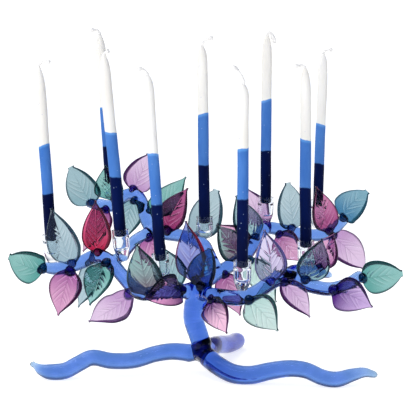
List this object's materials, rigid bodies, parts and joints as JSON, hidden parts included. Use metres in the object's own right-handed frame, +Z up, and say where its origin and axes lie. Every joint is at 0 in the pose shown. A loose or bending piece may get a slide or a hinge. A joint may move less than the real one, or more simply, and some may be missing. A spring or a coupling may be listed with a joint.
{
  "type": "menorah",
  "caption": "Lamp-worked glass menorah: a blue glass tree on three roots, hung with coloured glass leaves, with clear cups holding hand-dipped candles that lift out.",
  "frame": {"origin": "on the ground under the middle of the tree", "axes": "+Z up; the front, with the two long roots, faces -Y; +X to the right as seen from the front"},
  "size_m": [0.3275, 0.1832, 0.2873],
  "materials": {
    "blue_glass": "clear cobalt-blue borosilicate, fire-polished",
    "clear_glass": "clear borosilicate, fire-polished rims",
    "green_glass": "sea-green glass with darker drawn veins",
    "teal_glass": "pale teal glass with darker drawn veins",
    "pink_glass": "rose-pink glass with darker drawn veins",
    "lilac_glass": "pale lilac glass with darker drawn veins",
    "purple_glass": "deep purple glass fading to pink at the tip",
    "red_glass": "ruby glass with pale drawn veins",
    "candle_wax": "hand-dipped wax in navy, mid-blue and white bands, with a cotton wick"
  },
  "bodies": {
    "root": {"trunk": "blue_glass", "left_root": "blue_glass", "right_root": "blue_glass", "back_root": "blue_glass", "front_left_branch": "blue_glass", "back_left_branch": "blue_glass", "link_branch": "blue_glass", "back_right_branch": "blue_glass", "front_right_branch": "blue_glass", "right_side_branch": "blue_glass", "cup_far_left": "clear_glass", "cup_back_left": "clear_glass", "cup_mid_left": "clear_glass", "cup_front_left": "clear_glass", "cup_middle": "clear_glass", "cup_front_right": "clear_glass", "cup_back_right": "clear_glass", "cup_mid_right": "clear_glass", "cup_far_right": "clear_glass", "leaf_left_end_green": "green_glass", "leaf_left_cup_teal": "teal_glass", "leaf_left_red": "red_glass", "leaf_left_low_pink": "pink_glass", "leaf_left_low_green": "green_glass", "leaf_left_low_lilac": "lilac_glass", "leaf_back_end_teal": "teal_glass", "leaf_back_green": "green_glass", "leaf_back_top_pink": "pink_glass", "leaf_back_hanging_teal": "teal_glass", "leaf_back_up_green": "green_glass", "leaf_back_up_magenta": "pink_glass", "leaf_middle_teal": "teal_glass", "leaf_front_clear_green": "teal_glass", "leaf_crown_violet": "lilac_glass", "leaf_crown_deep_teal": "teal_glass", "leaf_front_purple": "purple_glass", "leaf_inner_mint": "green_glass", "leaf_right_grey_green": "teal_glass", "leaf_right_tall_teal": "teal_glass", "leaf_right_back_pink": "pink_glass", "leaf_right_end_green": "green_glass", "leaf_right_hanging_lilac": "lilac_glass", "leaf_right_front_green": "green_glass", "leaf_right_front_pink": "pink_glass", "leaf_right_behind_pink": "pink_glass", "leaf_right_clear_violet": "clear_glass", "leaf_crown_low_pink": "pink_glass", "leaf_right_low_mint": "green_glass", "leaf_right_low_pink": "lilac_glass", "leaf_right_low_purple": "purple_glass", "leaf_right_tip_green": "green_glass"},
    "candle_far_left": {"candle_far_left": "candle_wax"},
    "candle_back_left": {"candle_back_left": "candle_wax"},
    "candle_mid_left": {"candle_mid_left": "candle_wax"},
    "candle_front_left": {"candle_front_left": "candle_wax"},
    "candle_middle": {"candle_middle": "candle_wax"},
    "candle_front_right": {"candle_front_right": "candle_wax"},
    "candle_back_right": {"candle_back_right": "candle_wax"},
    "candle_mid_right": {"candle_mid_right": "candle_wax"},
    "candle_far_right": {"candle_far_right": "candle_wax"}
  },
  "joints": [
    {"name": "lift_far_left", "type": "slide", "parent": "root", "child": "candle_far_left", "axis": [-0.0558, 0.007, 0.9984], "range_m": [0, 0.04]},
    {"name": "lift_back_left", "type": "slide", "parent": "root", "child": "candle_back_left", "axis": [-0.0628, 0.014, 0.9979], "range_m": [0, 0.04]},
    {"name": "lift_mid_left", "type": "slide", "parent": "root", "child": "candle_mid_left", "axis": [-0.0837, 0.0087, 0.9965], "range_m": [0, 0.04]},
    {"name": "lift_front_left", "type": "slide", "parent": "root", "child": "candle_front_left", "axis": [-0.0628, -0.0105, 0.998], "range_m": [0, 0.04]},
    {"name": "lift_middle", "type": "slide", "parent": "root", "child": "candle_middle", "axis": [-0.014, 0.0035, 0.9999], "range_m": [0, 0.04]},
    {"name": "lift_front_right", "type": "slide", "parent": "root", "child": "candle_front_right", "axis": [0.0035, -0.007, 1], "range_m": [0, 0.04]},
    {"name": "lift_back_right", "type": "slide", "parent": "root", "child": "candle_back_right", "axis": [0.0035, 0.007, 1], "range_m": [0, 0.04]},
    {"name": "lift_mid_right", "type": "slide", "parent": "root", "child": "candle_mid_right", "axis": [-0.014, -0.0035, 0.9999], "range_m": [0, 0.04]},
    {"name": "lift_far_right", "type": "slide", "parent": "root", "child": "candle_far_right", "axis": [0.0262, 0.0105, 0.9996], "range_m": [0, 0.04]}
  ]
}
